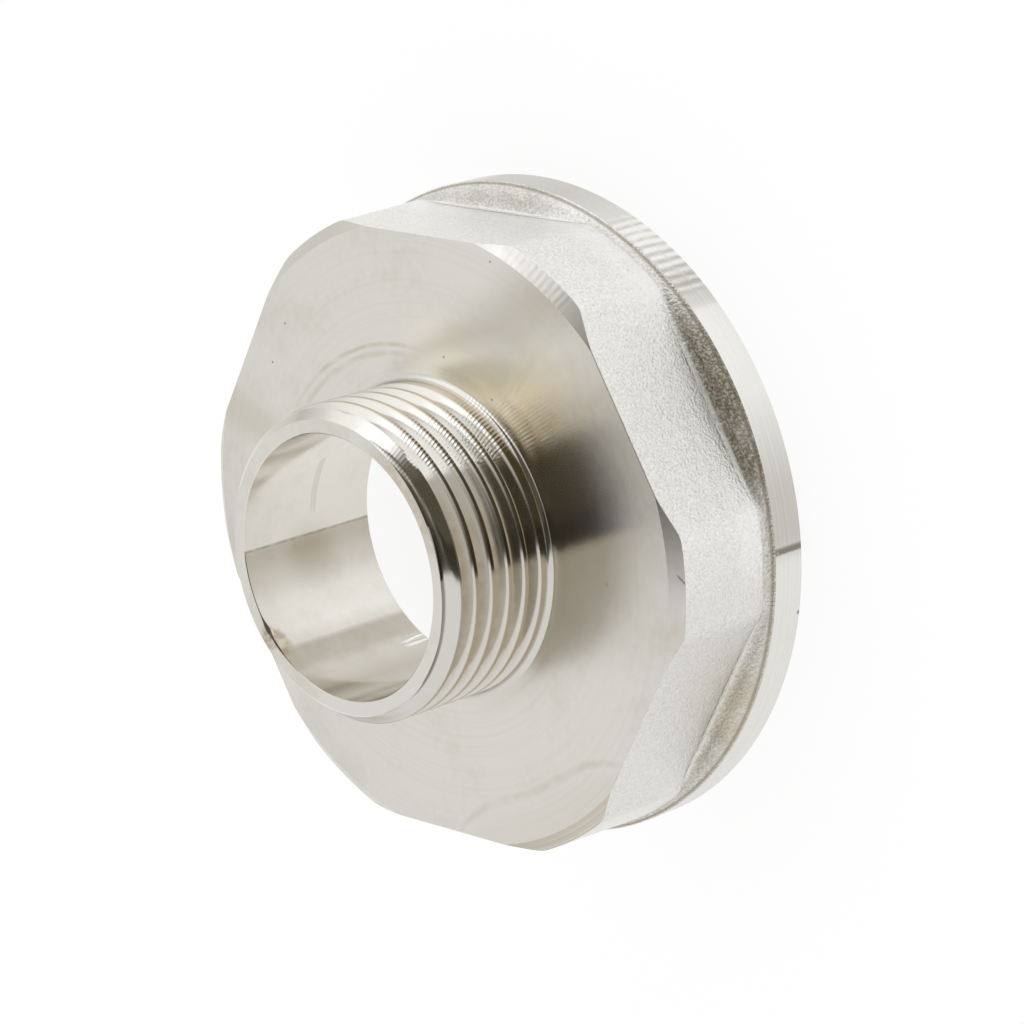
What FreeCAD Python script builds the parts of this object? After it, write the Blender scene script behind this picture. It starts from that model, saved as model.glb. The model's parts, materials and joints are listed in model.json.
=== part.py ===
import FreeCAD, Part
import math
import os

# Reducing adapter for pipes: one brass forging, turned and threaded, nickel plated.
# It stands on its collar. The axis is +Z, the origin is on the axis at the foot,
# and one flat of the hexagon faces +X. All sizes are in millimetres and degrees.

# Threads, 11 turns to the inch. The solid carries their crest surfaces, plain.
thread_depth = 1.48
male_crest_radius = 16.62
female_crest_radius = 28.33

# Walls, from the socket outwards and from the bore outwards
relief_clearance = 0.24
flat_wall = 2.10
spigot_wall = 1.20
web_thickness = 3.65

# Turned collar round the foot
collar_width = 4.35
collar_edge_break = 0.25

# Forged flange face, from the collar's edge up to the flats
flange_rise = 0.85
flange_edge_run = 1.15
flange_lip = 0.54

# Forged hexagon with draft and corners rounded about the axis
hex_height = 12.30
hex_draft = 1.2
corner_reach = 2.31
corner_blend_radius = 4.0
root_fillet_radius = 0.80

# Chamfer that the turned front face leaves on the six corners
corner_chamfer_width = 1.38
corner_chamfer_angle = 35.0

# Male spigot
spigot_length = 13.97
spigot_chamfer = 1.26
spigot_base_fillet = 0.70
bore_edge_break = 0.15

# Female socket, open at the foot
socket_mouth_clearance = 0.40
relief_width = 2.0

# Heights that follow from the sizes above
flange_height = collar_width + flange_rise
face_height = flange_height + hex_height
total_height = face_height + spigot_length
socket_depth = face_height - web_thickness

# Radii that follow from the sizes above
relief_radius = female_crest_radius + thread_depth + relief_clearance
socket_mouth_radius = female_crest_radius + thread_depth + socket_mouth_clearance
hex_apothem = relief_radius + flat_wall
corner_radius = hex_apothem + corner_reach
collar_radius = corner_radius + flange_lip
bore_radius = male_crest_radius - thread_depth - spigot_wall
spigot_end_radius = male_crest_radius - spigot_chamfer

flat_count = 6
axis_point = FreeCAD.Vector(0, 0, 0)
axis_way = FreeCAD.Vector(0, 0, 1)


def polar(radius, angle, height):
    """Point at a radius, an angle in radians and a height."""
    return FreeCAD.Vector(radius * math.cos(angle), radius * math.sin(angle), height)


def revolve(edges):
    """Solid turned from the edges of a closed section in the XZ plane."""
    return Part.Face(Part.Wire(edges)).revolve(axis_point, axis_way, 360)


def straight_edges(corners):
    """Edges through (radius, height) corners, in order and left open."""
    points = [FreeCAD.Vector(radius, 0, height) for radius, height in corners]
    return [Part.makeLine(first, second) for first, second in zip(points, points[1:])]


def arc_edge(start, middle, end):
    """Arc through three (radius, height) points of the XZ plane."""
    points = [FreeCAD.Vector(radius, 0, height) for radius, height in (start, middle, end)]
    return Part.Arc(*points).toShape()


def draft_at(height):
    """How far the drafted forging has drawn in at a height."""
    return (height - flange_height) * math.tan(math.radians(hex_draft))


def sharp_hexagon(height):
    """Closed outline of the flats at a height, with its corners still sharp."""
    tip = (hex_apothem - draft_at(height)) / math.cos(math.pi / flat_count)
    corners = [polar(tip, (2 * corner + 1) * math.pi / flat_count, height) for corner in range(flat_count)]
    return Part.makePolygon(corners + corners[:1])


def rounded_hexagon():
    """Drafted hexagon from the foot to the face, its corners rounded about the axis."""
    flats = Part.makeLoft([sharp_hexagon(0), sharp_hexagon(face_height)], True, True)
    corners = revolve(straight_edges([
        (0, 0),
        (corner_radius - draft_at(0), 0),
        (corner_radius - draft_at(face_height), face_height),
        (0, face_height),
        (0, 0)]))
    hexagon = flats.common(corners)
    upright_edges = [edge for edge in hexagon.Edges if edge.BoundBox.ZLength > face_height / 2]
    return hexagon.makeFillet(corner_blend_radius, upright_edges)


def collar_and_flange():
    """Turned collar and the forged face above it, with its rounded edge."""
    edge_radius = collar_radius - collar_edge_break
    round_radius = (flange_edge_run ** 2 + flange_rise ** 2) / (2 * flange_rise)
    centre = (edge_radius - flange_edge_run, flange_height - round_radius)
    half_turn = math.atan2(flange_rise, flange_edge_run)
    middle = (centre[0] + round_radius * math.sin(half_turn), centre[1] + round_radius * math.cos(half_turn))
    round_edge = arc_edge((edge_radius, collar_width), middle, (centre[0], flange_height))
    sides = straight_edges([
        (centre[0], flange_height),
        (0, flange_height),
        (0, 0),
        (edge_radius, 0),
        (collar_radius, collar_edge_break),
        (collar_radius, collar_width - collar_edge_break),
        (edge_radius, collar_width)])
    return revolve(sides + [round_edge])


def forged_blank():
    """Hexagon standing on the flange, with the root fillet rolled all round it."""
    blank = rounded_hexagon().fuse(collar_and_flange())
    divide = flange_height + hex_height / 2
    walls = [face for face in blank.Faces if face.BoundBox.ZMax > divide]
    flange_edges = [edge for face in blank.Faces if face.BoundBox.ZMax < divide for edge in face.Edges]
    root_edges = [edge for wall in walls for edge in wall.Edges
                  if any(edge.isSame(other) for other in flange_edges)]
    return blank.makeFillet(root_fillet_radius, root_edges)


def corner_chamfer():
    """Ring that the chamfer round the front face takes off the six corners."""
    inner = corner_radius - draft_at(face_height) - corner_chamfer_width
    outer = collar_radius
    drop = (outer - inner) * math.tan(math.radians(corner_chamfer_angle))
    return revolve(straight_edges([
        (inner, face_height),
        (outer, face_height - drop),
        (outer, total_height),
        (inner, total_height),
        (inner, face_height)]))


def spigot():
    """Male end at the crest radius, with a small fillet at its base and a lead-in chamfer."""
    base = face_height + spigot_base_fillet
    fillet_centre = (male_crest_radius + spigot_base_fillet, base)
    inward = spigot_base_fillet * math.sqrt(0.5)
    middle = (fillet_centre[0] - inward, base - inward)
    fillet = arc_edge((male_crest_radius, base), middle, (fillet_centre[0], face_height))
    sides = straight_edges([
        (fillet_centre[0], face_height),
        (fillet_centre[0], socket_depth),
        (0, socket_depth),
        (0, total_height),
        (spigot_end_radius, total_height),
        (male_crest_radius, total_height - spigot_chamfer),
        (male_crest_radius, base)])
    return revolve(sides + [fillet])


def socket_and_bore():
    """Everything that is turned out of the inside, as one tool."""
    mouth_chamfer = socket_mouth_radius - female_crest_radius
    relief_chamfer = relief_radius - female_crest_radius
    relief_start = socket_depth - relief_width
    over = total_height + spigot_length
    return revolve(straight_edges([
        (0, -collar_width),
        (socket_mouth_radius, -collar_width),
        (socket_mouth_radius, 0),
        (female_crest_radius, mouth_chamfer),
        (female_crest_radius, relief_start - relief_chamfer),
        (relief_radius, relief_start),
        (relief_radius, socket_depth),
        (bore_radius + bore_edge_break, socket_depth),
        (bore_radius, socket_depth + bore_edge_break),
        (bore_radius, total_height - bore_edge_break),
        (bore_radius + bore_edge_break, total_height),
        (bore_radius + bore_edge_break, over),
        (0, over),
        (0, -collar_width)]))


def adapter_body():
    """The whole adapter as one solid."""
    outside = forged_blank().cut(corner_chamfer()).fuse(spigot())
    return outside.cut(socket_and_bore()).removeSplitter()


os.makedirs("parts", exist_ok=True)
body = adapter_body()
body.exportStep("parts/adapter_body.step")
print("solids", len(body.Solids), "valid", body.isValid(), "volume", round(body.Volume, 1))
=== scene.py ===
import json
import math

import bmesh
import bpy
import numpy as np
from mathutils import Matrix, Vector


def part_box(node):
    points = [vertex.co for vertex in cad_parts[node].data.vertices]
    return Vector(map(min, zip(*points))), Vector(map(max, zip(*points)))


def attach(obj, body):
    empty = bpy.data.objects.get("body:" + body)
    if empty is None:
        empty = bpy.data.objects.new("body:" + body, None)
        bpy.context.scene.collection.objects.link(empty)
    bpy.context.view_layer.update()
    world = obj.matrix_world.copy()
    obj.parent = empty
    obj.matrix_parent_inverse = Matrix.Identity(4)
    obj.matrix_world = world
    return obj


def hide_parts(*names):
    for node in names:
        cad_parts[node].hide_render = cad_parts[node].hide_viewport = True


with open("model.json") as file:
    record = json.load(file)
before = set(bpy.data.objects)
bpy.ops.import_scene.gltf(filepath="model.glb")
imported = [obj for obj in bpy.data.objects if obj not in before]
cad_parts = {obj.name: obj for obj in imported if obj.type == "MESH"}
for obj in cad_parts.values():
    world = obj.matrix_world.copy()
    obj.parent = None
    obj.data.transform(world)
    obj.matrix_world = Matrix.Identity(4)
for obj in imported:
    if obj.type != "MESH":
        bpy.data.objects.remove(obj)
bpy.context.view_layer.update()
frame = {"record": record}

# Lengths are in millimetres until the mesh is made, and angles in degrees.
MM = 0.001
mounts = {mount["name"]: mount for mount in frame["record"]["mounts"]}
_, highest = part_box("adapter_body")

# Sizes that the frame gives
collar_radius = min(highest.x, highest.y) / MM
total_height = highest.z / MM
face_height = mounts["front_face"]["pos_m"][2] / MM
male_crest = mounts["male_thread"]["dims"]["r_mm"]
female_crest = mounts["female_socket"]["dims"]["r_mm"]
bore_radius = mounts["through_bore"]["dims"]["r_mm"]

# Collar and forged flange
collar_width = 4.35
collar_edge_break = 0.25
flange_height = 5.20
flange_edge_run = 1.15

# Hexagon: apothem and corner radius at the flange, drawn in by the draft above it
flat_count = 6
sector = 360.0 / flat_count
hex_apothem = 32.15
corner_radius = 34.46
corner_blend_radius = 4.0
root_fillet_radius = 0.80
draft_slope = math.tan(math.radians(1.2))

# Corner chamfer, and how far the face's edge is broken along the flats
facet_inner_radius = 32.82
facet_slope = math.tan(math.radians(35.0))
flat_edge_break = 0.05

# Spigot, from its base to its end
base_fillet = 0.70
spigot_chamfer = 1.26
bore_foot_break = 0.15
bore_rim_break = 0.06
neck_height = face_height + base_fillet
chamfer_height = total_height - spigot_chamfer

# Socket, from its floor to its mouth
socket_depth = 13.85
relief_radius = 30.05
relief_width = 2.0
mouth_radius = 30.21
relief_height = socket_depth - relief_width

# Threads, 11 turns to the inch, with flanks at 27.5 degrees
pitch = 25.4 / 11
thread_depth = 1.48
flank_run = thread_depth * math.tan(math.radians(27.5))
root_half_width = 0.17
male_thread_phase = 0.32
female_thread_phase = 0.3
run_out_start = face_height + 2.05
run_out_end = face_height + 1.20

# Columns of the mesh on half a flat, on the blend into the corner and on half a corner
flat_columns = 15
blend_columns = 10
corner_columns = 6
blend_start = 19.0
blend_end = 24.0

# Rows of the mesh on each stretch of the section
steps = {"collar": 4, "flange": 7, "root": 6, "wall": 8, "facet": 2, "face": 14, "base": 5, "lead_in": 9,
         "ring": 3, "bore": 10, "floor": 10, "relief": 3, "rear": 5}

# Chips on the bore's rim, as (degrees, depth), and how far round each one fades
rim_chips = [(187.0, 0.26), (196.0, 0.08)]
chip_spread = 4.0

# Mesh edges sharper than this angle stay sharp, and points closer than this distance become one
sharp_angle = 28.0
weld_distance = 0.002

# Camera in metres, found by fitting the object's edges to the photograph
camera_place = Vector((0.339616, -0.055085, 0.321905))
camera_right = Vector((0.5895, -0.3968, -0.7036))
camera_down = Vector((-0.3515, -0.9103, 0.2188))
camera_back = Vector((0.7272, -0.1183, 0.6761))
focal_pixels = 4452.777
picture_pixels = 1024
sensor_width = 36.0

# Floor, in metres, matt to the object and lit to the eye
floor_reach = 3.0
floor_height = -0.00005
floor_glow = 0.90
matt_floor = (0.80, 0.80, 0.80, 1)
lit_floor = (0.14, 0.14, 0.14, 1)

# Tent of light, its softbox, and the dark room at its open end
tent_glow = 0.95
softbox_glow = 0.42
far_dimming = 0.20
room_above = (0.115, 0.098, 0.068, 1)
room_below = (0.050, 0.043, 0.032, 1)

# Colours of the plating where it is turned, with painted sheen and painted reflections among them
nickel = (0.71, 0.69, 0.645, 1)
bright_nickel = (0.86, 0.85, 0.82, 1)
polished_nickel_and_sheen = (0.93, 0.92, 0.89, 1)
painted_sheen_face = (0.80, 0.77, 0.715, 1)
dull_collar_reflection = (0.52, 0.50, 0.45, 1)
cut_nickel = (0.66, 0.645, 0.60, 1)
bore_nickel = (0.88, 0.86, 0.80, 1)
bore_glint = (0.97, 0.97, 0.95, 1)

# Colours of the blasted forging, with painted shade in the hollows of its grain and a painted highlight on
# its tops
grain_hollow_shade = (0.84, 0.825, 0.78, 1)
grain_top_highlight = (1.0, 0.995, 0.97, 1)
shaded_grain = (0.66, 0.64, 0.59, 1)
painted_root_glint = (1.0, 0.995, 0.98, 1)
recess_hollow_shade = (0.235, 0.20, 0.135, 1)
recess_top_highlight = (0.62, 0.58, 0.48, 1)

# Colours of tarnish and dirt, some of them also used for painted shade and painted reflections
tarnish = (0.50, 0.44, 0.33, 1)
grime_and_shade = (0.15, 0.125, 0.09, 1)
dark_beige = (0.74, 0.63, 0.43, 1)
pale_beige = (0.92, 0.82, 0.62, 1)
smoke_and_reflection_brown = (0.42, 0.375, 0.29, 1)
recess_brown = (0.62, 0.52, 0.34, 1)
collar_rim_brown = (0.30, 0.25, 0.17, 1)
groove_brown = (0.50, 0.425, 0.30, 1)
chip_brown = (0.34, 0.26, 0.15, 1)
bore_stain_and_reflection_brown = (0.38, 0.33, 0.25, 1)
bore_rim_brown = (0.42, 0.32, 0.17, 1)

# Places of specks on the face, as (x, y)
face_specks = [(23.9, 21.1), (12.1, 15.5), (16.1, 9.1), (-8.3, 27.9), (-12.6, 25.2), (20.6, -13.0)]

# Middle of the smoky band on the face, as (radius, degrees)
smoke_course = [(17, 80.0), (19, 64.0), (21.5, 49.6), (25.7, 35.6), (33.5, 26.0)]

# Roughness of the face, as (radius, roughness)
face_roughness = [(17, 0.15), (24, 0.155), (28, 0.18), (34, 0.24)]

# How far each surface is darkened round the axis, as (degrees, share): painted shade on the forging's sides,
# tarnish and a painted dark reflection in its recesses, painted reflections on the collar and in the bore,
# tarnish and painted shade in the thread's grooves
forging_shade = [(-180, 0.25), (-80, 0.5), (-35, 0.42), (-22, 0.03), (25, 0.0), (60, 0.2), (180, 0.25)]
recess_tarnish_and_reflection = [
    (-120, 0.45), (-75, 0.47), (-66, 0.46), (-52, 0.31), (-40, 0.29), (-20, 0.25), (-15, 0.88), (0, 0.97),
    (10, 0.84), (14, 0.66), (17.5, 0.20), (28, 0.10), (45, 0.05), (55, 0.40), (70, 0.33), (100, 0.4)]
collar_painted_reflection = [
    (-100, 0.5), (-85, 0.45), (-60, 0.30), (-31, 0.25), (-27, 0.80), (-18, 0.72), (-9, 0.35), (-2, 0.05),
    (10, 0.0), (14.0, 0.05), (15.2, 0.45), (20, 0.70), (24, 0.35), (33, 0.05), (38, 0.4), (50, 0.75),
    (66, 0.85), (70, 0.5), (100, 0.3)]
groove_tarnish_and_shade = [
    (-180, 0.5), (-90, 0.85), (-70, 0.95), (-55, 0.8), (-40, 0.7), (-25, 0.85), (-10, 0.7), (4, 0.3),
    (13, 0.0), (60, 0.0), (110, 0.3), (180, 0.5)]
bore_painted_reflection = [
    (0, 0.2), (70, 0.15), (120, 0.20), (150, 0.28), (152.4, 0.28), (153.4, 0.74), (158, 0.72), (168, 0.46),
    (178, 0.12), (190, 0.0), (197.4, 0.20), (198.8, 0.64), (208, 0.60), (213, 0.40), (219, 0.45),
    (228, 0.66), (242, 0.62), (252, 0.45), (275, 0.3), (360, 0.2)]


# Mesh of the adapter

def shares(count):
    """Shares from 0 to 1 in a number of even steps."""
    return np.linspace(0, 1, count + 1)


def column_angles():
    """Angles of the mesh's columns, closer together where a flat blends into a corner."""
    on_flat = np.linspace(0, blend_start, flat_columns + 1)
    on_blend = np.linspace(blend_start, blend_end, blend_columns + 1)[1:]
    on_corner = np.linspace(blend_end, sector / 2, corner_columns + 1)[1:]
    half = np.concatenate([on_flat, on_blend, on_corner])
    one = np.concatenate([-half[-2:0:-1], half])
    return np.radians(np.concatenate([one + sector * flat for flat in range(flat_count)]))


def draft_at(height):
    """How far the forging has drawn in at a height."""
    return (height - flange_height) * draft_slope


def hexagon_radius(angle, height):
    """Radius of the drafted hexagon, its corners turned about the axis and blended into the flats."""
    off = np.radians(np.abs((np.degrees(angle) + sector / 2) % sector - sector / 2))
    apothem = hex_apothem - draft_at(height)
    tip = corner_radius - draft_at(height)
    centre_x = apothem - corner_blend_radius
    centre_y = np.sqrt((tip - corner_blend_radius) ** 2 - centre_x ** 2)
    along = centre_x * np.cos(off) + centre_y * np.sin(off)
    across = centre_x * np.sin(off) - centre_y * np.cos(off)
    blend = along + np.sqrt(np.maximum(corner_blend_radius ** 2 - across ** 2, 0))
    on_flat = off < np.arctan2(centre_y, apothem)
    on_corner = off > np.arctan2(centre_y, centre_x)
    return np.where(on_flat, apothem / np.cos(off), np.where(on_corner, tip, blend))


def smooth_step(low, high, value):
    """0 below low, 1 above high and a smooth rise between."""
    share = np.clip((value - low) / (high - low), 0, 1)
    return share * share * (3 - 2 * share)


def groove_depth(distance):
    """Depth of the thread's groove at a distance from its middle, measured along the axis."""
    slope = thread_depth / flank_run
    root_radius = 2 * root_half_width / slope
    straight = thread_depth - slope * (distance - root_half_width)
    rounded = thread_depth - distance ** 2 / (2 * root_radius)
    return np.clip(np.where(distance < 2 * root_half_width, rounded, straight), 0, None)


def groove_place(angle, height, phase):
    """Distance from the middle of the nearest groove, and that groove's height at this angle."""
    turns = (height - phase) / pitch - angle / (2 * math.pi)
    whole = np.floor(turns)
    distance = np.abs(turns - whole - 0.5) * pitch
    return distance, phase + pitch * (whole + 0.5 + angle / (2 * math.pi))


def male_radius(angle, height):
    """Surface of the spigot: crests, grooves that run out above the base, and the lead-in chamfer."""
    distance, middle = groove_place(angle, height, male_thread_phase)
    lift = thread_depth * (1 - smooth_step(run_out_end, run_out_start, middle))
    thread = male_crest - np.maximum(groove_depth(distance) - lift, 0)
    chamfer = male_crest - spigot_chamfer + (total_height - height)
    return np.minimum(thread, chamfer)


def female_radius(angle, height):
    """Wall of the socket: crests, grooves, the mouth's chamfer and the step into the relief."""
    distance, _ = groove_place(angle, height, female_thread_phase)
    thread = female_crest + groove_depth(distance)
    relief = relief_radius - np.clip(relief_height - height, 0, None)
    return np.maximum(np.maximum(thread, mouth_radius - height), relief)


def ring(angle, radius, height):
    """One row of the mesh at a radius and a height, either of which may vary round it."""
    return tuple(np.broadcast_to(value, angle.shape).astype(float) for value in (radius, height))


def straight_band(start, end, count):
    """Rows on straight lines between two rows."""
    return [(start[0] + (end[0] - start[0]) * share, start[1] + (end[1] - start[1]) * share)
            for share in shares(count)]


def arc_rows(angle, centre, radius, first, last, count):
    """Rows on an arc in the radius and height plane, from one direction to another in degrees."""
    turns = np.radians(np.linspace(first, last, count + 1))
    return [ring(angle, centre[0] + radius * math.cos(turn), centre[1] + radius * math.sin(turn))
            for turn in turns]


def flange_rows(angle):
    """Rows over the flange's rounded edge and flat face, then up the root fillet to the hexagon's wall."""
    edge_radius = collar_radius - collar_edge_break
    rise = flange_height - collar_width
    round_radius = (flange_edge_run ** 2 + rise ** 2) / (2 * rise)
    centre = (edge_radius - flange_edge_run, flange_height - round_radius)
    ball = hexagon_radius(angle, flange_height) + root_fillet_radius
    reach = round_radius + root_fillet_radius
    over_edge = np.maximum(ball - centre[0], 0)
    ball_height = centre[1] + np.sqrt(reach ** 2 - over_edge ** 2)
    touch_turn = np.arcsin(over_edge / reach)
    edge_turn = math.asin(flange_edge_run / round_radius)
    arc = round_radius * (edge_turn - touch_turn)
    flat = np.maximum(centre[0] - ball, 0)
    rows = []
    for share in shares(steps["flange"]):
        gone = share * (arc + flat)
        turn = edge_turn - np.minimum(gone, arc) / round_radius
        radius = centre[0] + round_radius * np.sin(turn) - np.maximum(gone - arc, 0)
        rows.append((radius, centre[1] + round_radius * np.cos(turn)))
    for share in shares(steps["root"])[1:]:
        start = math.pi + (math.pi / 2 - touch_turn)
        way = start + share * (math.pi - start)
        rows.append((ball + root_fillet_radius * np.cos(way), ball_height + root_fillet_radius * np.sin(way)))
    return rows


def wall_rows(angle, start):
    """Rows up the hexagon's wall to the facets' lower edge, then over the facets to the face."""
    top = hexagon_radius(angle, face_height)
    drop = np.maximum((top - facet_inner_radius) * facet_slope, flat_edge_break)
    heights = [start[1] + (face_height - drop - start[1]) * share for share in shares(steps["wall"])]
    rows = [(hexagon_radius(angle, height), height) for height in heights]
    face_edge = (np.minimum(facet_inner_radius, top - flat_edge_break), np.full(angle.shape, face_height))
    return rows, straight_band(rows[-1], face_edge, steps["facet"])


def chipped(angle):
    """How much further the bore's rim is broken away along its chips."""
    turn = np.degrees(angle) % 360
    return sum(depth * np.exp(-((turn - place) / chip_spread) ** 2) for place, depth in rim_chips)


def outer_bands(angle):
    """Bands of rows from the foot over the collar, the flange and the hexagon to the spigot's base."""
    edge_radius = collar_radius - collar_edge_break
    collar = [ring(angle, edge_radius, 0), ring(angle, collar_radius, collar_edge_break)]
    collar_top = ring(angle, collar_radius, collar_width - collar_edge_break)
    collar += straight_band(collar[-1], collar_top, steps["collar"])[1:]
    flange = [collar[-1]] + flange_rows(angle)
    wall, facet = wall_rows(angle, flange[-1])
    base_radius = male_crest + base_fillet
    face = straight_band(facet[-1], ring(angle, base_radius, face_height), steps["face"])
    fillet = arc_rows(angle, (base_radius, neck_height), base_fillet, -90, -180, steps["base"])
    return [("collar", collar), ("forged", flange), ("forged", wall), ("facet", facet), ("face", face),
            ("spigot", fillet)]


def inner_bands(angle):
    """Bands of rows from the lead-in chamfer over the spigot's end and down the bore to the rear face."""
    heights = np.linspace(chamfer_height, total_height, steps["lead_in"] + 1)
    lead_in = [ring(angle, male_radius(angle, height), height) for height in heights]
    rim_break = bore_rim_break + chipped(angle)
    end_ring = straight_band(lead_in[-1], ring(angle, bore_radius + rim_break, total_height), steps["ring"])
    bore_top = ring(angle, bore_radius, total_height - rim_break)
    bore_foot = ring(angle, bore_radius, socket_depth + bore_foot_break)
    bore = [end_ring[-1]] + straight_band(bore_top, bore_foot, steps["bore"])
    bore.append(ring(angle, bore_radius + bore_foot_break, socket_depth))
    floor = straight_band(bore[-1], ring(angle, relief_radius, socket_depth), steps["floor"])
    relief = straight_band(floor[-1], ring(angle, relief_radius, relief_height), steps["relief"])
    mouth = ring(angle, female_radius(angle, np.zeros(angle.shape)), 0)
    rear = straight_band(mouth, ring(angle, collar_radius - collar_edge_break, 0), steps["rear"])
    return [("spigot", lead_in), ("ring", end_ring), ("bore", bore), ("socket", floor), ("socket", relief),
            ("socket", rear)]


def to_places(angle, radius, height):
    """Rows of points in metres from rows of radii and heights."""
    return np.stack([radius * np.cos(angle), radius * np.sin(angle), height], axis=-1) * MM


def add_band(bm, angle, rows, material):
    """Adds the faces between a list of rows that close round the axis."""
    radius = np.array([row[0] for row in rows])
    height = np.array([row[1] for row in rows])
    verts = [[bm.verts.new(place) for place in row] for row in to_places(angle, radius, height)]
    columns = len(angle)
    for lower, upper in zip(verts, verts[1:]):
        for column in range(columns):
            after = (column + 1) % columns
            face = bm.faces.new((lower[column], lower[after], upper[after], upper[column]))
            face.material_index = material


def groove_offsets():
    """Heights within one pitch at which the thread's rows run, closest on the groove's rounded root."""
    side = [0.06, 0.12, 0.18, 2 * root_half_width, 0.60, root_half_width + flank_run]
    return np.array([-distance for distance in side[::-1]] + [0.0] + side) + pitch / 2


def add_helix(bm, angle, low, high, phase, radius_at, material, outward):
    """Adds a thread as a sheet whose rows follow its helix and stop at the two end heights."""
    offsets = groove_offsets()
    first = math.floor((low - phase) / pitch) - 1
    turns = math.ceil((high - phase) / pitch) - first + 1
    per_turn = len(offsets)
    base = np.concatenate([phase + pitch * (first + turn) + offsets for turn in range(turns)])
    height = np.clip(base[:, None] + pitch * angle[None, :] / (2 * math.pi), low, high)
    radius = radius_at(np.broadcast_to(angle, height.shape), height)
    columns = len(angle)
    verts = [[bm.verts.new(place) for place in row] for row in to_places(angle, radius, height)]
    for row in range(len(base) - 1):
        for column in range(columns):
            after = (column + 1) % columns
            over = row + per_turn if after == 0 else row
            if over + 1 < len(base):
                below = [verts[row][column], verts[over][after]]
                above = [verts[over + 1][after], verts[row + 1][column]]
                quad = below + above
                bm.faces.new(quad if outward else quad[::-1]).material_index = material


def adapter_mesh(finishes):
    """The whole adapter as one closed mesh, with a material slot for each finish."""
    angle = column_angles()
    thread, socket = finishes.index("thread"), finishes.index("socket")
    bm = bmesh.new()
    for finish, rows in outer_bands(angle) + inner_bands(angle):
        add_band(bm, angle, rows, finishes.index(finish))
    add_helix(bm, angle, neck_height, chamfer_height, male_thread_phase, male_radius, thread, True)
    add_helix(bm, angle, 0, relief_height, female_thread_phase, female_radius, socket, False)
    bmesh.ops.remove_doubles(bm, verts=bm.verts, dist=weld_distance * MM)
    bmesh.ops.recalc_face_normals(bm, faces=bm.faces)
    mesh = bpy.data.meshes.new("plated_adapter")
    bm.to_mesh(mesh)
    bm.free()
    mesh.shade_smooth()
    mesh.set_sharp_from_angle(angle=math.radians(sharp_angle))
    return mesh


# Node helpers

class Graph:
    """Short calls that add shader nodes to a material or the world."""

    def __init__(self, tree):
        self.tree = tree
        tree.nodes.clear()

    def add(self, kind, settings=None, **inputs):
        """Adds a node with its settings, and feeds the inputs that are named."""
        node = self.tree.nodes.new(kind)
        for name, value in (settings or {}).items():
            setattr(node, name, value)
        for name, value in inputs.items():
            self.feed(node.inputs[name.replace("_", " ")], value)
        return node

    def feed(self, socket, value):
        """Links a socket to another one, or sets its value."""
        if isinstance(value, bpy.types.NodeSocket):
            self.tree.links.new(value, socket)
        else:
            socket.default_value = value

    def feed_in_order(self, node, *values):
        """Feeds a node's inputs from the first one on."""
        for socket, value in zip(node.inputs, values):
            self.feed(socket, value)

    def math(self, operation, *values):
        """Result of one Math node."""
        node = self.add("ShaderNodeMath", {"operation": operation})
        self.feed_in_order(node, *values)
        return node.outputs[0]

    def vector(self, operation, *values):
        """Number that one Vector Math node gives."""
        node = self.add("ShaderNodeVectorMath", {"operation": operation})
        self.feed_in_order(node, *values)
        return node.outputs["Value"]

    def fade(self, value, low, high, start=0.0, end=1.0):
        """Smooth change from start to end as value goes from low to high."""
        node = self.add("ShaderNodeMapRange", {"interpolation_type": "SMOOTHSTEP"})
        self.feed_in_order(node, value, low, high, start, end)
        return node.outputs["Result"]

    def noise(self, vector, scale, detail=2.0, roughness=0.5):
        """Noise from 0 to 1, its grains about one over the scale across."""
        node = self.add("ShaderNodeTexNoise", Vector=vector, Scale=scale, Detail=detail, Roughness=roughness)
        return node.outputs["Fac"]

    def mix(self, share, first, second):
        """Colour between two others, the second where the share is 1."""
        node = self.add("ShaderNodeMix", {"data_type": "RGBA"})
        self.feed(node.inputs["Factor"], share)
        self.feed(node.inputs[6], first)
        self.feed(node.inputs[7], second)
        return node.outputs[2]

    def levels(self, value, stops):
        """Level read off a line through (value, level) stops."""
        low, high = stops[0][0], stops[-1][0]
        share = self.add("ShaderNodeMapRange")
        self.feed_in_order(share, value, low, high, 0.0, 1.0)
        node = self.add("ShaderNodeValToRGB", Fac=share.outputs["Result"])
        elements = node.color_ramp.elements
        for index, (place, level) in enumerate(stops):
            position = (place - low) / (high - low)
            # A new ramp comes with two stops
            stop = elements[index] if index < 2 else elements.new(position)
            stop.position = position
            stop.color = (level, level, level, 1)
        return node.outputs["Color"]

    def chain(self, operation, values):
        """Result of the same operation on all the values in turn."""
        result = values[0]
        for value in values[1:]:
            result = self.math(operation, result, value)
        return result

    def product(self, *values):
        """All the values multiplied."""
        return self.chain("MULTIPLY", values)

    def total(self, *values):
        """All the values added."""
        return self.chain("ADD", values)

    def most(self, *values):
        """Greatest of the values."""
        return self.chain("MAXIMUM", values)

    def less(self, first, second):
        """First value less the second."""
        return self.math("SUBTRACT", first, second)

    def window(self, value, start, full, ease, end):
        """1 between full and ease, 0 outside start and end."""
        return self.product(self.fade(value, start, full), self.fade(value, ease, end, 1.0, 0.0))

    def line(self, value, core, width, strength=1.0):
        """Full strength where a value is within core of 0, and none past the width."""
        return self.fade(self.math("ABSOLUTE", value), core, width, strength, 0.0)

    def spot(self, place, centre, core, reach):
        """1 up to core from a point, falling to 0 at the reach."""
        return self.fade(self.vector("DISTANCE", place, centre), core, reach, 1.0, 0.0)


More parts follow.
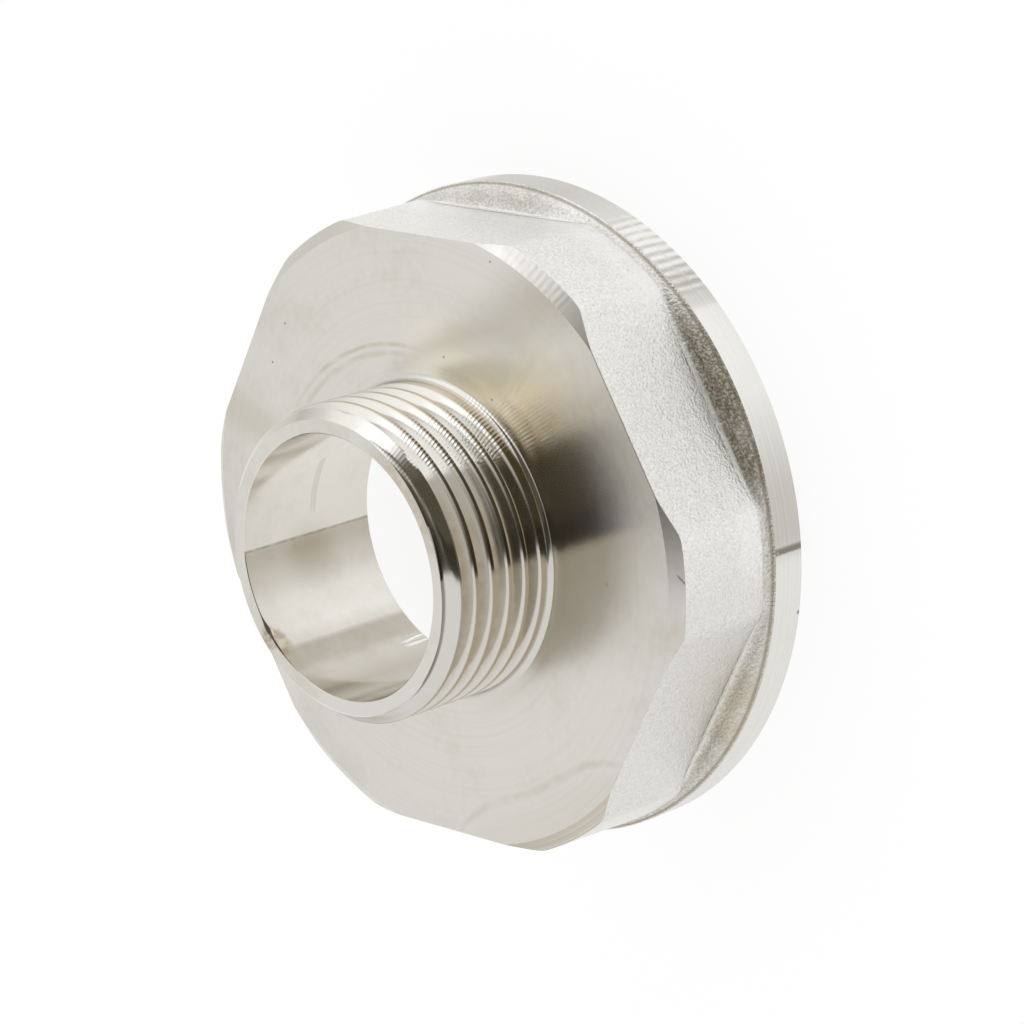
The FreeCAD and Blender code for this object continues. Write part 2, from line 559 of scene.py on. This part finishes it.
class Skin(Graph):
    """Plated surface whose places are read in millimetres and degrees round the axis."""

    def __init__(self, name):
        self.material = bpy.data.materials.new(name)
        self.material.use_nodes = True
        super().__init__(self.material.node_tree)
        self.coordinates = self.add("ShaderNodeTexCoord").outputs
        scaled = self.add("ShaderNodeVectorMath", {"operation": "SCALE"}, Vector=self.coordinates["Object"],
                          Scale=1 / MM)
        self.place = scaled.outputs[0]
        self.x, self.y, self.z = self.add("ShaderNodeSeparateXYZ", Vector=self.place).outputs
        squares = self.total(self.product(self.x, self.x), self.product(self.y, self.y))
        self.radius = self.math("SQRT", squares)
        self.turn = self.math("ARCTAN2", self.y, self.x)
        self.degrees = self.product(self.turn, 180 / math.pi)
        self.cloud = self.noise(self.place, 0.12, 4, 0.6)
        self.mottle = self.noise(self.place, 0.9, 2, 0.6)

    def joined(self, x, y, z):
        """Vector from three values."""
        return self.add("ShaderNodeCombineXYZ", X=x, Y=y, Z=z).outputs[0]

    def rings(self, scale, detail=1):
        """Fine lines that run round the axis."""
        return self.noise(self.joined(self.radius, self.z, self.product(self.turn, 0.3)), scale, detail, 0.6)

    def spokes(self, scale):
        """Fine lines that run straight away from the axis, and along it in the bore."""
        along = self.joined(self.product(self.turn, 20.0), self.product(self.radius, 0.12),
                            self.product(self.z, 0.12))
        return self.noise(along, scale, 2, 0.6)

    def haze(self, strength):
        """Faint cloudy tarnish all over."""
        mixed = self.total(self.product(self.cloud, 0.7), self.product(self.mottle, 0.3))
        return self.fade(mixed, 0.45, 0.70, 0.0, strength)

    def patchy(self, scale, detail, low, high, least, full=1.0):
        """Uneven strength, from least to full, that breaks up a stain."""
        return self.fade(self.noise(self.place, scale, detail), low, high, least, full)

    def round_window(self, start, full, ease, end):
        """1 between two directions round the axis, in degrees."""
        return self.window(self.degrees, start, full, ease, end)

    def chatter(self, count, start, full, ease, end):
        """Waves across the cut, -1 to 1, within a range of degrees."""
        along = self.total(self.product(self.turn, float(count)), self.product(self.cloud, 6.0))
        uneven = self.patchy(0.8, 1, 0.25, 0.6, 0.35)
        return self.product(self.math("SINE", along), self.round_window(start, full, ease, end), uneven)

    def finish(self, colour, height_mm, roughness, anisotropy=0.0):
        """Ends the material with its colour, relief and gloss, brushed round the axis if asked."""
        bump = self.add("ShaderNodeBump", Strength=1.0, Distance=1.0, Height=self.product(height_mm, MM))
        shader = self.add("ShaderNodeBsdfPrincipled", Base_Color=colour, Metallic=1.0, Normal=bump.outputs[0])
        uneven = self.fade(self.cloud, 0.35, 0.65, 0.92, 1.08)
        self.feed(shader.inputs["Roughness"], self.product(uneven, roughness))
        if anisotropy:
            tangent = self.add("ShaderNodeTangent", {"direction_type": "RADIAL", "axis": "Z"})
            shader.inputs["Anisotropic"].default_value = anisotropy
            shader.inputs["Anisotropic Rotation"].default_value = 0.25
            self.feed(shader.inputs["Tangent"], tangent.outputs[0])
        self.add("ShaderNodeOutputMaterial", Surface=shader.outputs[0])
        return self.material


# Materials

def beige_by_thread(skin):
    """Share of beige tone beside the thread: a streaky patch, and a wider and fainter one."""
    streaks = skin.fade(skin.spokes(2.0), 0.30, 0.66, 0.5, 1.0)
    close = skin.product(skin.round_window(-4, 9, 17, 36), skin.fade(skin.radius, 33, 20), streaks, 0.85)
    wide = skin.product(skin.round_window(14, 30, 55, 75), skin.fade(skin.radius, 26, 19), 0.4)
    return skin.most(close, wide)


def smoke_and_painted_reflection(skin):
    """Share of the smoky band that swings away from the thread, with a painted dark reflection at the
    hexagon's edge.
    """
    start_turn = smoke_course[0][1]
    middle = skin.levels(skin.radius, [(radius, degrees / start_turn) for radius, degrees in smoke_course])
    off = skin.less(skin.product(skin.degrees, 1 / start_turn), middle)
    band = skin.product(skin.line(off, 0.0, 0.17), skin.fade(skin.radius, 17, 23, 0.3, 1.0))
    uneven = skin.fade(skin.mottle, 0.2, 0.6, 0.8, 1.0)
    # Painted dark reflection: a dark patch on the face's outer part, on the +X side by the thread
    painted_dark_reflection = skin.product(skin.round_window(-26, -8, 2, 22), skin.fade(skin.radius, 24, 29), uneven, 0.75)
    return skin.product(skin.most(band, painted_dark_reflection), 0.50)


def water_marks(skin):
    """Share of the old water marks: a double arc on the +Y side, a tide line and its pool on the -Y side."""
    cloudy = skin.patchy(0.45, 3, 0.30, 0.62, 0.35)
    course = skin.total(skin.product(skin.degrees, 0.055), 16.1, skin.product(skin.cloud, 0.6))
    arc = skin.less(skin.radius, course)
    double = skin.most(skin.line(arc, 0.05, 0.40), skin.line(skin.total(arc, 1.0), 0.05, 0.55, 0.7))
    above = skin.product(double, skin.round_window(58, 72, 112, 126), cloudy, 0.55)
    aside = skin.math("ABSOLUTE", skin.product(skin.total(skin.degrees, 93.0), 0.04))
    arch = skin.less(skin.radius, skin.total(skin.product(skin.math("POWER", aside, 4.0), 4.0), 28.1))
    tide = skin.product(skin.line(arch, 0.0, 0.85), skin.fade(skin.radius, 33.5, 30.0, 0.4, 1.0), cloudy,
                        0.36)
    pool = skin.product(skin.fade(arch, 0.0, 3.0), 0.12)
    return skin.most(above, tide, pool)


def face_finish():
    """Turned front face: fine rings, a painted sheen on the far side, painted shade at the spigot's foot,
    smoke with a painted dark reflection, a beige tone by the thread, specks and old water marks.
    """
    skin = Skin("turned_face")
    # Painted shade on the face at the spigot's foot, on the -Y side, mixed towards the tarnish colour
    edge = skin.product(skin.round_window(-115, -85, -70, -55), skin.fade(skin.radius, 20, 18), 0.20)
    streak = skin.product(skin.round_window(125, 131, 133, 140), skin.fade(skin.radius, 22, 27), 0.35)
    lines = skin.fade(skin.rings(3.0, 3), 0.42, 0.68, 0.0, 0.07)
    tone = skin.total(skin.most(skin.haze(0.18), edge, water_marks(skin), streak), lines)
    dots = [skin.spot(skin.place, (x, y, face_height), 0.08, 0.16) for x, y in face_specks]
    # Painted sheen: the face's far side is made brighter in its colour
    far_side = skin.window(skin.math("ABSOLUTE", skin.degrees), 160, 172, 185, 190)
    painted_sheen = skin.product(far_side, skin.fade(skin.radius, 19, 24))
    colour = skin.mix(tone, skin.mix(painted_sheen, nickel, painted_sheen_face), tarnish)
    beige = skin.mix(skin.fade(skin.degrees, 13, 23), dark_beige, pale_beige)
    colour = skin.mix(beige_by_thread(skin), colour, beige)
    colour = skin.mix(smoke_and_painted_reflection(skin), colour, smoke_and_reflection_brown)
    colour = skin.mix(skin.product(skin.most(*dots), 0.7), colour, grime_and_shade)
    roughness = skin.levels(skin.radius, face_roughness)
    return skin.finish(colour, skin.product(skin.rings(5.0), 0.0012), roughness, 1.0)


def forged_finish():
    """Blasted forging: a grain with painted shade in its hollows and painted highlights on its tops, shaded
    by its side, with dark recesses beside the flats that are partly tarnish and partly a painted dark
    reflection, and a painted glint along the root fillet.
    """
    skin = Skin("blasted_forging")
    grain = skin.noise(skin.place, 3.6, 3, 0.6)
    coarse = skin.noise(skin.place, 0.9, 2, 0.5)
    patches = skin.patchy(0.35, 2, 0.3, 0.6, 0.7)
    side = skin.levels(skin.degrees, forging_shade)
    above_flange = skin.less(skin.z, flange_height)
    # Dark recesses beside the flats: tarnish, and a painted dark reflection that is strongest on the +X flat
    recess = skin.fade(above_flange, 0.44, 0.18)
    dark = skin.product(recess, patches, skin.levels(skin.degrees, recess_tarnish_and_reflection))
    brown = skin.product(skin.round_window(-70, -63, -55, -47), recess, patches, 0.4)
    # Painted glint along the root fillet, fainter where the side is shaded
    root = skin.product(skin.window(above_flange, 0.16, 0.40, 1.6, 4.8), skin.fade(coarse, 0.2, 0.5),
                        skin.fade(side, 0.05, 0.45, 0.9, 0.12))
    rim = skin.product(skin.fade(skin.z, collar_width + 0.27, collar_width + 0.07),
                       skin.fade(skin.radius, collar_radius - 0.10, collar_radius - 0.16), 0.6)
    # Grain colour follows the grain's bump: painted shade in the hollows, painted highlight on the tops
    pits = skin.mix(skin.fade(grain, 0.42, 0.65), recess_hollow_shade, recess_top_highlight)
    colour = skin.mix(skin.fade(grain, 0.32, 0.66), grain_hollow_shade, grain_top_highlight)
    colour = skin.mix(skin.product(side, 0.9), colour, shaded_grain)
    colour = skin.mix(dark, colour, pits)
    colour = skin.mix(brown, colour, recess_brown)
    colour = skin.mix(root, colour, painted_root_glint)
    colour = skin.mix(rim, colour, collar_rim_brown)
    grain_height = skin.product(grain, skin.fade(dark, 0.0, 1.0, 0.155, 0.20))
    return skin.finish(colour, skin.total(grain_height, skin.product(coarse, 0.08)), 0.33)


def collar_finish():
    """Turned collar: painted reflections as brighter and duller arcs, chatter whose bars are painted lighter
    and darker, a dark mark across and a nick.
    """
    skin = Skin("turned_collar")
    waves = skin.chatter(190, 17, 19, 34, 39)
    # Painted reflections: brighter and duller arcs round the collar, and chatter bars painted lighter and
    # darker
    dull = skin.less(skin.levels(skin.degrees, collar_painted_reflection), skin.product(waves, 0.42))
    streaks = skin.fade(skin.rings(5.0, 2), 0.35, 0.75, 0.0, 0.15)
    mark = skin.product(skin.round_window(-29.4, -28.9, -28.4, -27.6), skin.patchy(1.1, 2, 0.2, 0.5, 0.45))
    nick = skin.spot(skin.place, (26.7, -22.6, 0.35), 0.15, 0.3)
    colour = skin.mix(skin.total(dull, streaks), polished_nickel_and_sheen, dull_collar_reflection)
    colour = skin.mix(skin.product(skin.most(mark, nick), 0.8), colour, grime_and_shade)
    height = skin.total(skin.product(skin.rings(5.0), 0.0016), skin.product(waves, 0.003))
    return skin.finish(colour, height, 0.28, 0.6)


def spigot_chatter(skin):
    """Slanting waves, -1 to 1, that the tool left on the thread and its chamfer."""
    slant = skin.product(skin.z, 1.18)
    wave_degrees = 1.58
    along = skin.total(skin.degrees, slant, skin.product(skin.cloud, 1.5))
    wave = skin.math("SINE", skin.product(along, 2 * math.pi / wave_degrees))
    return skin.product(wave, skin.patchy(0.8, 1, 0.25, 0.6, 0.4), skin.round_window(11, 15, 32, 44))


def groove_stain(skin, side, depth):
    """Share of brown tarnish in the grooves, fainter on their rear flanks, and along the crests' edges, its
    strength round the axis painting shade on some sides.
    """
    up = skin.add("ShaderNodeSeparateXYZ", Vector=skin.coordinates["Normal"]).outputs["Z"]
    below_chamfer = skin.less(chamfer_height, skin.z)
    deep = skin.product(skin.fade(depth, 0.15, 1.10), skin.fade(below_chamfer, -0.14, 0.06), side,
                        skin.patchy(0.7, 3, 0.3, 0.65, 0.5), skin.fade(up, -0.5, 0.3, 0.4, 1.0))
    crest = skin.product(skin.window(depth, -0.02, -0.01, 0.03, 0.10), skin.fade(below_chamfer, 0.01, 0.21),
                         skin.total(skin.product(side, 0.4), 0.5))
    return skin.most(deep, crest)


def spigot_finish(name, chatter_mm):
    """Cut thread and its chamfer: nearly bright, with chatter bars painted as highlights, brown tarnish in
    the grooves with painted shade on some sides, and darker roots of dirt and painted shade.
    """
    skin = Skin(name)
    waves = spigot_chatter(skin)
    depth = skin.less(male_crest, skin.radius)
    # Tarnish share round the axis, which also paints shade on the darker sides of the thread
    side = skin.levels(skin.degrees, groove_tarnish_and_shade)
    clean = skin.product(skin.round_window(11, 15, 33, 50), skin.fade(depth, 0.05, 0.3), 0.9)
    # Painted highlights on the chatter bars, and brighter crests where the chatter runs
    bright = skin.most(clean, skin.fade(waves, 0.0, 0.9))
    dim = skin.product(skin.round_window(66, 82, 125, 160), skin.fade(skin.z, 30.1, 30.5), 0.45)
    # Darker groove roots: dirt and painted shade, stronger on the darker sides
    root = skin.product(skin.fade(depth, 1.22, 1.42), skin.total(side, 0.15), 0.8)
    colour = skin.mix(bright, cut_nickel, polished_nickel_and_sheen)
    colour = skin.mix(skin.most(skin.haze(0.15), dim), colour, tarnish)
    colour = skin.mix(groove_stain(skin, side, depth), colour, groove_brown)
    colour = skin.mix(root, colour, grime_and_shade)
    height = skin.total(skin.product(skin.rings(6.0), 0.0006), skin.product(waves, chatter_mm))
    return skin.finish(colour, height, 0.13, 0.3)


def facet_finish():
    """Turned chamfer across the corners, with chatter and a nick that runs askew."""
    skin = Skin("turned_corner")
    waves = skin.chatter(250, 22, 25, 40, 46)
    askew = skin.total(skin.degrees, 28.5, skin.product(skin.less(skin.radius, 33.95), 2.4))
    nick = skin.product(skin.line(askew, 0.10, 0.35), skin.fade(skin.radius, 33.45, 33.75), 0.7)
    turning = skin.fade(skin.rings(3.0), 0.3, 0.6, 0.3, 1.0)
    lines = skin.product(skin.round_window(-120, -112, -72, -66), turning, 0.7)
    worn = skin.product(skin.round_window(68, 78, 102, 112), 0.22)
    bare = skin.mix(skin.round_window(24, 27, 40, 46), nickel, bright_nickel)
    colour = skin.mix(skin.most(skin.haze(0.3), lines, worn), bare, tarnish)
    colour = skin.mix(nick, colour, grime_and_shade)
    height = skin.total(skin.product(skin.rings(5.0), 0.001), skin.product(waves, 0.004))
    return skin.finish(colour, height, 0.34, 0.3)


def ring_finish():
    """Flat end of the spigot, with a stained chip by the bore's rim."""
    skin = Skin("turned_end")
    chip = skin.product(skin.spot(skin.place, (-13.9, -2.6, 31.4), 0.85, 1.7),
                        skin.patchy(1.4, 3, 0.35, 0.6, 0.4))
    uneven = skin.fade(skin.mottle, 0.3, 0.6, 0.5, 1.0)
    stain = skin.product(skin.round_window(-25, -5, 20, 45), uneven, 0.7)
    colour = skin.mix(skin.most(skin.haze(0.25), stain), nickel, tarnish)
    colour = skin.mix(skin.product(chip, 0.75), colour, chip_brown)
    return skin.finish(colour, skin.product(skin.rings(5.0), 0.0010), 0.25, 0.5)


def bore_stains(skin, around):
    """Share of the bore's loose stains: a smear round it with a fainter tail, and a curl by the rim."""
    uneven = skin.fade(skin.rings(2.0), 0.2, 0.6, 0.75, 1.0)
    smear = skin.product(skin.window(around, 115.5, 117, 140, 152),
                         skin.window(skin.z, 21.2, 21.5, 22.1, 22.45), uneven)
    tail = skin.product(skin.window(around, 130, 140, 150, 157),
                        skin.window(skin.z, 21.7, 22.1, 22.5, 23.0), 0.6)
    course = skin.less(30.6, skin.product(skin.less(around, 225.0), 0.19))
    curl = skin.product(skin.line(skin.less(skin.z, course), 0.2, 1.5),
                        skin.window(around, 219, 224, 246, 254), 0.6)
    return skin.most(curl, skin.product(skin.most(smear, tail), 0.45))


def bore_finish():
    """Reamed bore: bands of painted reflection and a dark line along it, loose stains, a painted glint, a
    stained rim.
    """
    skin = Skin("reamed_bore")
    around = skin.math("MODULO", skin.total(skin.degrees, 360.0), 360.0)
    blob = skin.product(skin.spot(skin.place, (-13.1, 4.4, 22.5), 0.5, 5.0), 0.22)
    # Bands of painted reflection along the bore, with a faint haze and a dull blob
    dull = skin.total(skin.levels(around, bore_painted_reflection), skin.haze(0.10), blob)
    line = skin.product(skin.window(around, 151.9, 152.6, 152.9, 153.8),
                        skin.patchy(0.9, 2, 0.25, 0.6, 0.3, 0.75))
    rim = skin.product(skin.spot(skin.place, (-13.5, -3.3, 31.4), 1.2, 2.4),
                       skin.patchy(0.8, 3, 0.30, 0.65, 0.0))
    # Painted glint on the bore's lower part
    glint = skin.product(skin.window(around, 209, 211, 215, 220),
                         skin.window(skin.z, 13.8, 14.2, 16.6, 18.2),
                         skin.fade(skin.spokes(2.4), 0.5, 0.6))
    tone = skin.most(dull, bore_stains(skin, around))
    colour = skin.mix(tone, bore_nickel, bore_stain_and_reflection_brown)
    colour = skin.mix(skin.product(line, 0.6), colour, grime_and_shade)
    colour = skin.mix(glint, colour, bore_glint)
    colour = skin.mix(skin.product(rim, 0.7), colour, bore_rim_brown)
    return skin.finish(colour, skin.product(skin.rings(4.0), 0.0008), 0.15, 0.4)


def socket_finish():
    """Threaded socket and rear face: plainly turned, tarnished in the grooves."""
    skin = Skin("turned_socket")
    depth = skin.less(skin.radius, female_crest)
    deep = skin.product(skin.fade(depth, 0.2, 1.4, 0.0, 0.5), skin.fade(skin.z, 12.5, 11.5))
    colour = skin.mix(skin.most(skin.haze(0.25), deep), nickel, tarnish)
    return skin.finish(colour, skin.product(skin.rings(5.0), 0.0014), 0.27, 0.5)


def make_adapter():
    """The dressed adapter, in place of the plain solid."""
    looks = {
        "collar": collar_finish(),
        "forged": forged_finish(),
        "facet": facet_finish(),
        "face": face_finish(),
        "spigot": spigot_finish("turned_neck", 0.0015),
        "thread": spigot_finish("cut_thread", 0.012),
        "ring": ring_finish(),
        "bore": bore_finish(),
        "socket": socket_finish()}
    adapter = bpy.data.objects.new("plated_adapter", adapter_mesh(list(looks)))
    bpy.context.scene.collection.objects.link(adapter)
    for material in looks.values():
        adapter.data.materials.append(material)
    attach(adapter, "root")
    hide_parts("adapter_body")


# Studio

def make_camera():
    """Camera at the photograph's angle."""
    data = bpy.data.cameras.new("camera")
    data.sensor_width = sensor_width
    data.lens = focal_pixels * sensor_width / picture_pixels
    data.clip_start = 0.01
    data.clip_end = 20.0
    camera = bpy.data.objects.new("camera", data)
    back = camera_back.normalized()
    right = (camera_right - camera_right.dot(back) * back).normalized()
    up = back.cross(right)
    turn = Matrix((right, up, back)).transposed().to_4x4()
    camera.matrix_world = Matrix.Translation(camera_place) @ turn
    bpy.context.scene.collection.objects.link(camera)
    bpy.context.scene.camera = camera


def floor_material():
    """Pale and matt where it lights the object, and a nearly even white to the eye and in reflections."""
    material = bpy.data.materials.new("pale_floor")
    material.use_nodes = True
    graph = Graph(material.node_tree)
    path = graph.add("ShaderNodeLightPath").outputs
    seen = graph.most(path["Is Camera Ray"], path["Is Glossy Ray"], path["Is Transmission Ray"])
    matt = graph.add("ShaderNodeBsdfDiffuse", Color=matt_floor)
    dim = graph.add("ShaderNodeBsdfDiffuse", Color=lit_floor)
    lit = graph.add("ShaderNodeEmission", Strength=floor_glow)
    bright = graph.add("ShaderNodeAddShader")
    graph.feed_in_order(bright, dim.outputs[0], lit.outputs[0])
    both = graph.add("ShaderNodeMixShader")
    graph.feed_in_order(both, seen, matt.outputs[0], bright.outputs[0])
    graph.add("ShaderNodeOutputMaterial", Surface=both.outputs[0])
    return material


def make_floor():
    """Plain pale floor that shows white and keeps a soft shadow."""
    mesh = bpy.data.meshes.new("floor")
    corners = [(-1, -1), (1, -1), (1, 1), (-1, 1)]
    places = [(x * floor_reach, y * floor_reach, floor_height) for x, y in corners]
    mesh.from_pydata(places, [], [(0, 1, 2, 3)])
    mesh.materials.append(floor_material())
    floor = bpy.data.objects.new("floor", mesh)
    bpy.context.scene.collection.objects.link(floor)


def make_studio_light():
    """Soft white tent with a brighter softbox and the dark end that the photograph was taken from."""
    world = bpy.data.worlds.new("studio")
    bpy.context.scene.world = world
    world.use_nodes = True
    graph = Graph(world.node_tree)
    way = graph.add("ShaderNodeTexCoord").outputs["Generated"]
    side, down, back = [graph.vector("DOT_PRODUCT", way, tuple(axis))
                        for axis in (camera_right, camera_down, camera_back)]
    table = graph.fade(down, 0.41, 0.45)
    roof = graph.fade(down, -0.57, -0.69)
    left = graph.fade(side, -0.55, -0.80)
    right = graph.fade(side, 0.60, 0.85)
    behind = graph.fade(back, 0.05, -0.10)
    lit = graph.most(table, roof, left, right, behind)
    softbox_way = (camera_right * -0.70 + camera_down * -0.62 + camera_back * 0.34).normalized()
    softbox = graph.fade(graph.vector("DOT_PRODUCT", way, tuple(softbox_way)), 0.77, 0.97, 0.0,
                         softbox_glow)
    far = graph.fade(back, -0.20, -0.60, 0.0, far_dimming)
    glow = graph.total(graph.less(tent_glow, far), softbox)
    tent = graph.add("ShaderNodeCombineXYZ", X=glow, Y=glow, Z=glow).outputs[0]
    shade = graph.mix(graph.fade(down, 0.08, 0.16), room_above, room_below)
    path = graph.add("ShaderNodeLightPath").outputs
    seen = graph.most(path["Is Camera Ray"], path["Is Transmission Ray"])
    colour = graph.mix(seen, graph.mix(lit, shade, tent), (1, 1, 1, 1))
    background = graph.add("ShaderNodeBackground", Color=colour, Strength=1.0)
    graph.add("ShaderNodeOutputWorld", Surface=background.outputs[0])


make_camera()
make_floor()
make_studio_light()
make_adapter()

bpy.context.scene.view_settings.view_transform = "Standard"
